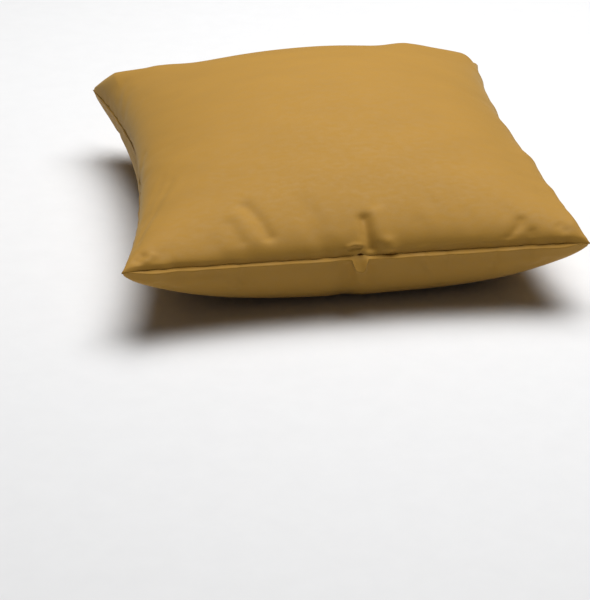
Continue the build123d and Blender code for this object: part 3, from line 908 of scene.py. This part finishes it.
def fibre_material():
    """Siliconised polyester fibre: tangled white strands in soft tufts."""
    material, tree, shader = new_material(
        "fibre_fill", Roughness=0.85, Sheen_Weight=0.4, Sheen_Roughness=0.5,
        Subsurface_Weight=0.2, Subsurface_Radius=(0.004, 0.004, 0.004),
    )
    tufts = noise(tree, 70, 4, 0.6)
    strands = noise(tree, 900, 5, 0.75, (1.0, 3.0, 1.0))
    crossing = noise(tree, 900, 5, 0.75, (3.0, 1.0, 2.0))
    shade = blended(tree, (0.4, tufts), (0.3, strands), (0.3, crossing))
    colour = ramp(tree, shade, (0.3, (0.66, 0.66, 0.64)), (0.6, (0.88, 0.88, 0.87)))
    tree.links.new(colour, shader.inputs["Base Color"])
    add_bumps(tree, shader, (tufts, 0.0015, 0.6), (strands, 0.0004, 0.8), (crossing, 0.0004, 0.8))
    return material


def dress():
    """Gives every piece and every CAD node that still shows its material."""
    velvet = velvet_material()
    cover_thread = thread_material("cover_thread", (0.20, 0.085, 0.006), (0.36, 0.17, 0.018))
    insert_thread = thread_material("insert_thread", (0.70, 0.69, 0.66), (0.86, 0.85, 0.82))
    insert_cloth = woven_material(
        "insert_cloth", (0.70, 0.69, 0.66), (0.87, 0.86, 0.83), ("X", 0.0006), ("Y", 0.0006), 0.8
    )
    zip_tape = woven_material(
        "zip_tape", (0.24, 0.105, 0.008), (0.37, 0.175, 0.020), ("X", 0.0008), ("Z", 0.0006), 0.72
    )
    label_cloth = woven_material(
        "label_cloth", (0.74, 0.72, 0.66), (0.88, 0.86, 0.80), ("X", 0.0004), ("Z", 0.0005), 0.42
    )
    nylon, enamel = nylon_material(), enamel_material()
    pieces = [(cover, velvet), (insert_casing, insert_cloth), (insert_stitches, insert_thread)]
    pieces += [(fibre_batt, fibre_material()), *((stitches, cover_thread) for stitches in cover_stitches)]
    for piece, material in pieces:
        piece.data.materials.append(material)
    nodes = {
        "care_label": label_cloth,
        "zip_tape_upper": zip_tape, "zip_tape_lower": zip_tape,
        "zip_coil_upper": nylon, "zip_coil_lower": nylon,
        "zip_stitching_upper": cover_thread, "zip_stitching_lower": cover_thread,
        "zip_top_stops": enamel, "zip_bottom_stop": enamel,
        "zip_slider_body": enamel, "zip_pull_tab": enamel,
    }
    for name, material in nodes.items():
        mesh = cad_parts[name].data
        mesh.materials.clear()
        mesh.materials.append(material)


dress()


# ---- floor, light and camera ----
FLOOR_HALF = 6.0
LIGHT_PLACE, LIGHT_SIZE, LIGHT_POWER = Vector((0.30, 0.38, 2.2)), 1.9, 81
PILLOW_MIDDLE = Vector((0, 0, 0.07))


def add_floor():
    mesh = bpy.data.meshes.new("floor")
    e = FLOOR_HALF
    mesh.from_pydata([(-e, -e, 0), (e, -e, 0), (e, e, 0), (-e, e, 0)], [], [(0, 1, 2, 3)])
    floor = bpy.data.objects.new("floor", mesh)
    bpy.context.scene.collection.objects.link(floor)
    material, tree, shader = new_material("floor", Roughness=0.7, Specular_IOR_Level=0.2)
    paper = noise(tree, 40, 3, 0.6)
    colour = ramp(tree, paper, (0.3, (0.742, 0.742, 0.746)), (0.7, (0.758, 0.758, 0.762)))
    tree.links.new(colour, shader.inputs["Base Color"])
    mesh.materials.append(material)


def add_world():
    """A pale backdrop for the camera, which lights the pillow only dimly."""
    world = bpy.data.worlds.new("studio")
    bpy.context.scene.world = world
    world.use_nodes = True
    tree = world.node_tree
    dim = tree.nodes["Background"]
    dim.inputs["Color"].default_value = (0.97, 0.98, 1.0, 1)
    dim.inputs["Strength"].default_value = 0.05
    pale = node(tree, "ShaderNodeBackground", Color=(0.90, 0.90, 0.91, 1))
    mix, path = node(tree, "ShaderNodeMixShader"), node(tree, "ShaderNodeLightPath")
    tree.links.new(path.outputs["Is Camera Ray"], mix.inputs[0])
    tree.links.new(dim.outputs[0], mix.inputs[1])
    tree.links.new(pale.outputs[0], mix.inputs[2])
    tree.links.new(mix.outputs[0], tree.nodes["World Output"].inputs[0])


def add_light():
    data = bpy.data.lights.new("softbox", "AREA")
    data.size, data.energy = LIGHT_SIZE, LIGHT_POWER
    light = bpy.data.objects.new("softbox", data)
    light.location = LIGHT_PLACE
    light.rotation_euler = (PILLOW_MIDDLE - LIGHT_PLACE).to_track_quat("-Z", "Y").to_euler()
    bpy.context.scene.collection.objects.link(light)


VIEW_TURN, VIEW_RISE, VIEW_ROLL = -9.17, 28.78, 0.58  # degrees
VIEW_DISTANCE = 1.7189
VIEW_TARGET = Vector((-0.0501, -0.1593, 0.0))
LENS, SENSOR = 109.4, 36.0


def add_camera():
    turn, rise, roll = (math.radians(a) for a in (VIEW_TURN, VIEW_RISE, VIEW_ROLL))
    back = Vector((math.sin(turn) * math.cos(rise), -math.cos(turn) * math.cos(rise), math.sin(rise)))
    data = bpy.data.cameras.new("camera")
    data.lens, data.sensor_width, data.sensor_fit = LENS, SENSOR, "AUTO"
    camera = bpy.data.objects.new("camera", data)
    camera.location = VIEW_TARGET + back * VIEW_DISTANCE
    camera.rotation_mode = "QUATERNION"
    camera.rotation_quaternion = back.to_track_quat("Z", "Y") @ Quaternion((0, 0, 1), roll)
    bpy.context.scene.collection.objects.link(camera)
    bpy.context.scene.camera = camera


add_floor()
add_world()
add_light()
add_camera()
bpy.context.scene.view_settings.view_transform = "Standard"
